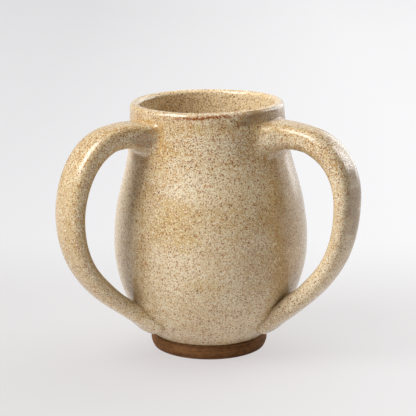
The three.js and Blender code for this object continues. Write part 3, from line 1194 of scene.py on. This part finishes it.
def rimLine(n, place, apart):
    # The glaze breaks brown over the lip's front edge
    rim = glazeLook["rimLine"]
    along = n.math("SUBTRACT", apart.outputs["X"], axisX)
    climb = n.math("MINIMUM", n.times(along, rim["rise"]), rim["mostRise"])
    level = n.math("SUBTRACT", apart.outputs["Z"], climb)
    level = n.math("ADD", level, n.waver(place, *rim["wander"]))
    line = band(n, level, *rim["band"])
    front = n.times(n.range(along, *rim["left"]), n.range(along, *rim["right"]))
    front = n.times(front, n.range(apart.outputs["Y"], *rim["front"]))
    share = n.math("MAXIMUM", front, rim["elsewhere"])
    return n.times(line, n.drift(place, *rim["broken"]), share)


def makeGlaze():
    g = glazeLook
    n = Nodes("speckled_glaze_finish")
    place, apart = n.places()
    inside = n.add("ShaderNodeAttribute", attribute_name="inside").outputs["Fac"]
    colour, shadeAndTone = glazeDrifts(n, place, apart, inside)
    colour = n.blend(honeyPool(n, place, apart), colour, toLinear(*g["honey"]))
    colour = addIron(n, place, apart, inside, shadeAndTone, colour)
    colour = n.blend(rimLine(n, place, apart), colour, toLinear(*g["rimBrown"]))
    # A painted dark reflection on the lip
    darkReflection = n.times(patches(n, place, g["darkReflectionSpots"]), g["shares"]["darkReflection"])
    colour = n.blend(darkReflection, colour, toLinear(*g["darkReflection"]))

    shader = n.add("ShaderNodeBsdfPrincipled")
    n.link(n.range(n.noise(place, *g["gloss"]), *g["roughness"]), shader.inputs["Roughness"])
    n.link(colour, shader.inputs["Base Color"])
    shader.inputs["IOR"].default_value = g["ior"]
    dimples = n.add("ShaderNodeBump")
    dimples.inputs["Strength"].default_value = g["dimples"]["strength"]
    dimples.inputs["Distance"].default_value = g["dimples"]["depth"]
    n.link(n.noise(place, *g["dimples"]["noise"]), dimples.inputs["Height"])
    n.link(dimples.outputs[0], shader.inputs["Normal"])
    return n.finish(shader)


clayLook = {
    "dark": (86, 54, 29),
    "light": (142, 98, 57),
    "grain": (420, 5, 0.65, 0.35, 0.65),
    "grainShare": 0.45,
    # Turning lines: the same grain, drawn out round the foot
    "lines": (420, 3, 0.6, 0.36, 0.64),
    "linesShare": 0.55,
    "turned": (0.12, 0.12, 4),
    "roughness": 0.8,
    "specular": 0.25,
}


def makeClay():
    c = clayLook
    n = Nodes("bare_clay_finish")
    place = n.places()[0]
    grain = n.times(n.drift(place, *c["grain"]), c["grainShare"])
    lines = n.times(n.drift(n.drawOut(place, c["turned"]), *c["lines"]), c["linesShare"])
    colour = n.blend(n.math("ADD", grain, lines), toLinear(*c["dark"]), toLinear(*c["light"]))
    shader = n.add("ShaderNodeBsdfPrincipled")
    shader.inputs["Roughness"].default_value = c["roughness"]
    shader.inputs["Specular IOR Level"].default_value = c["specular"]
    n.link(colour, shader.inputs["Base Color"])
    return n.finish(shader)


def dress(piece, finish):
    piece.data.materials.clear()
    piece.data.materials.append(finish)


def makeFloorFinish():
    # The lens and the gloss see a painted sheet that keeps a soft share of the shadows
    s = studio
    n = Nodes("studio_paper")
    place, apart = n.places()
    # Painted fall of light on the paper: darker near, lighter far, darker to the left
    back = n.range(apart.outputs["Y"], *s["farFrom"])
    colour = n.blend(back, (*s["near"], 1), (*s["far"], 1))
    reach = s["sideReach"]
    side = n.range(apart.outputs["X"], -reach, reach, -reach, reach, smooth=False)
    side = n.times(side, s["sideways"])
    lift = n.add("ShaderNodeCombineXYZ")
    for socket in lift.inputs:
        n.link(side, socket)
    tone = n.vector("ADD", colour, lift.outputs[0]).outputs[0]
    # Painted shadows round the cup's foot
    for middle, reach, left in s["shadowOvals"]:
        away = awayFrom(n, place, (axisX + middle[0], axisY + middle[1], 0), (*reach, 1))
        tone = n.blend(n.range(away, *s["shadowOvalEdge"]), tone, (*left, 1), "MULTIPLY")
    # The room is darker on the left and brighter on the right, which only the gloss shows
    rays = n.add("ShaderNodeLightPath")
    low, high = s["glossFrom"]
    leftward = n.range(apart.outputs["X"], -low, -high, 0.0, s["glossLeft"] - 1)
    rightward = n.range(apart.outputs["X"], low, high, 0.0, s["glossRight"] - 1)
    change = n.times(n.math("ADD", leftward, rightward), rays.outputs["Is Glossy Ray"])
    glow = n.add("ShaderNodeEmission")
    n.link(tone, glow.inputs["Color"])
    n.link(n.math("ADD", change, 1.0), glow.inputs["Strength"])
    shadowed = n.add("ShaderNodeBsdfDiffuse")
    shadowed.inputs["Color"].default_value = (*[c * s["shadowShare"] for c in s["floorColour"]], 1)
    seen = n.add("ShaderNodeAddShader")
    n.link(glow.outputs[0], seen.inputs[0])
    n.link(shadowed.outputs[0], seen.inputs[1])
    paper = n.add("ShaderNodeBsdfDiffuse")
    paper.inputs["Color"].default_value = (*s["bounceColour"], 1)
    toLens = n.math("MAXIMUM", rays.outputs["Is Camera Ray"], rays.outputs["Is Glossy Ray"])
    toLens = n.math("MAXIMUM", toLens, rays.outputs["Is Transmission Ray"])
    choice = n.add("ShaderNodeMixShader")
    n.link(toLens, choice.inputs[0])
    n.link(paper.outputs[0], choice.inputs[1])
    n.link(seen.outputs[0], choice.inputs[2])
    return n.finish(choice)


glaze = makeGlaze()
clay = makeClay()
for piece in (vessel, leftHandle, rightHandle, leftPad, rightPad):
    dress(piece, glaze)
    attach(piece, "root")
dress(foot, clay)
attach(foot, "root")
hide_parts("vessel")
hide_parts("foot_ring")
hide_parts("left_handle", "left_upper_luting_coil")
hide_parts("right_handle", "right_upper_luting_coil")
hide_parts("left_lower_luting_pad")
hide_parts("right_lower_luting_pad")
dress(floor, makeFloorFinish())


# Light

lighting = {
    # Turn is counted from the camera's side, to the right; rise from the table up
    "lamps": {
        "key_lamp": {"turn": -62, "rise": 45, "size": (1.0, 1.2), "power": 36.2},
        "left_window_pane": {"turn": 111, "rise": 27, "size": (0.14, 0.8), "power": 3.0},
        "right_window_pane": {"turn": 122, "rise": 25, "size": (0.18, 0.9), "power": 4.2},
        "right_back_lamp": {"turn": 143, "rise": 14, "size": (0.85, 1.0), "power": 5.6},
        "overhead_lamp": {"turn": 0, "rise": 88, "size": (1.0, 1.0), "power": 5.4},
    },
    "away": 1.6,
    "aimHeight": 0.07,
    "sky": 0.05,
    "skyColour": (1, 0.92, 0.80, 1),
}


def addLamp(name, turn, rise, size, power):
    across = math.radians(turn)
    up = math.radians(rise)
    aim = axisPoint + Vector((0, 0, lighting["aimHeight"]))
    data = bpy.data.lights.new(name, "AREA")
    data.shape = "RECTANGLE"
    data.size, data.size_y = size
    data.energy = power
    lamp = bpy.data.objects.new(name, data)
    lamp.location = aim + lighting["away"] * Vector((
        math.cos(up) * math.sin(across), -math.cos(up) * math.cos(across), math.sin(up),
    ))
    lamp.rotation_euler = (aim - lamp.location).to_track_quat("-Z", "Y").to_euler()
    bpy.context.collection.objects.link(lamp)


for lampName, lampValues in lighting["lamps"].items():
    addLamp(lampName, **lampValues)
world = bpy.data.worlds.new("studio_air")
world.use_nodes = True
airNodes = world.node_tree.nodes
airLink = world.node_tree.links.new
air = airNodes["Background"]
air.inputs["Color"].default_value = lighting["skyColour"]
air.inputs["Strength"].default_value = lighting["sky"]
# Past the paper's edge the lens sees the same pale tone
beyond = airNodes.new("ShaderNodeBackground")
beyond.inputs["Color"].default_value = (*studio["far"], 1)
seen = airNodes.new("ShaderNodeLightPath")
choice = airNodes.new("ShaderNodeMixShader")
airLink(seen.outputs["Is Camera Ray"], choice.inputs[0])
airLink(air.outputs[0], choice.inputs[1])
airLink(beyond.outputs[0], choice.inputs[2])
airLink(choice.outputs[0], airNodes["World Output"].inputs[0])
bpy.context.scene.world = world
bpy.context.scene.view_settings.view_transform = "Standard"
print("studio lit")
